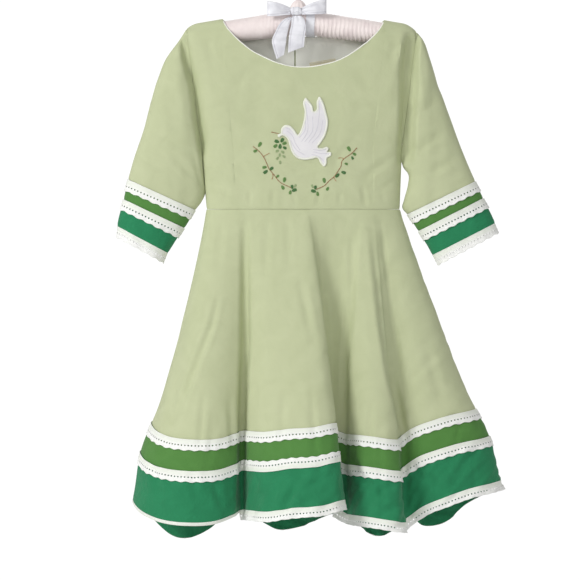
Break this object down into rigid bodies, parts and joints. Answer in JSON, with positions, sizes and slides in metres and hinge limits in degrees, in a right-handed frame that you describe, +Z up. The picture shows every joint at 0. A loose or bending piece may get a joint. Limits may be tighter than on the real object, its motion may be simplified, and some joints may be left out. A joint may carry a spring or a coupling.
{
  "type": "irish dance dress on a padded hanger",
  "caption": "Child's sage cotton dance dress with three-quarter sleeves, green bands, eyelet lace and a white dove applique, hung on a padded satin hanger with a ribbon bow.",
  "frame": {"origin": "inside top of the hanger's hook, where a rail or peg carries it", "axes": "+Z up, front of the dress faces -Y, +X to the right as seen from the front"},
  "size_m": [0.493, 0.1954, 0.7639],
  "materials": {
    "sage_cotton": "plain woven cotton",
    "grass_cotton": "plain woven cotton",
    "emerald_cotton": "plain woven cotton with a slight sheen",
    "eyelet_lace": "white cotton eyelet lace",
    "lining_cotton": "pale cotton lining",
    "label_weave": "cream woven label, blank",
    "dove_satin": "white cotton applique with a satin-stitched edge",
    "hanger_satin": "ruched satin over padding",
    "ribbon_satin": "silver grey satin ribbon",
    "hook_steel": "polished plated wire",
    "zip_tape": "knitted zip tape",
    "zip_metal": "sage enamelled slider and pull"
  },
  "bodies": {
    "garment": {"bodice_front": "sage_cotton", "bodice_back_left": "sage_cotton", "bodice_back_right": "sage_cotton", "neck_lining_left": "lining_cotton", "neck_lining_right": "lining_cotton", "neck_label": "label_weave", "dove_applique": "dove_satin", "zip_tape": "zip_tape", "zip_slider": "zip_metal", "sleeve_left": "sage_cotton", "sleeve_right": "sage_cotton", "sleeve_band_left": "grass_cotton", "sleeve_band_right": "grass_cotton", "sleeve_emerald_left": "emerald_cotton", "sleeve_emerald_right": "emerald_cotton", "sleeve_lace_upper_left": "eyelet_lace", "sleeve_lace_upper_right": "eyelet_lace", "sleeve_lace_lower_left": "eyelet_lace", "sleeve_lace_lower_right": "eyelet_lace", "cuff_lace_left": "eyelet_lace", "cuff_lace_right": "eyelet_lace", "skirt_front": "sage_cotton", "skirt_back_left": "sage_cotton", "skirt_back_right": "sage_cotton", "skirt_band_front": "grass_cotton", "skirt_band_back": "grass_cotton", "skirt_emerald_front": "emerald_cotton", "skirt_emerald_back": "emerald_cotton", "skirt_lace_upper_front": "eyelet_lace", "skirt_lace_upper_back": "eyelet_lace", "skirt_lace_lower_front": "eyelet_lace", "skirt_lace_lower_back": "eyelet_lace", "hem_lace_front": "eyelet_lace", "hem_lace_back": "eyelet_lace", "hanger_bar": "hanger_satin", "hanger_hook": "hook_steel", "ribbon_knot": "ribbon_satin", "ribbon_loop_left": "ribbon_satin", "ribbon_loop_right": "ribbon_satin", "ribbon_tail_left": "ribbon_satin", "ribbon_tail_right": "ribbon_satin", "ribbon_band": "ribbon_satin"},
    "pull_tab": {"zip_pull": "zip_metal"}
  },
  "joints": [
    {"name": "pull_swing", "type": "hinge", "parent": "garment", "child": "pull_tab", "pos_m": [-0.00679, 0.02628, -0.11563], "axis": [1, 0, 0], "range_deg": [0, 160]}
  ]
}
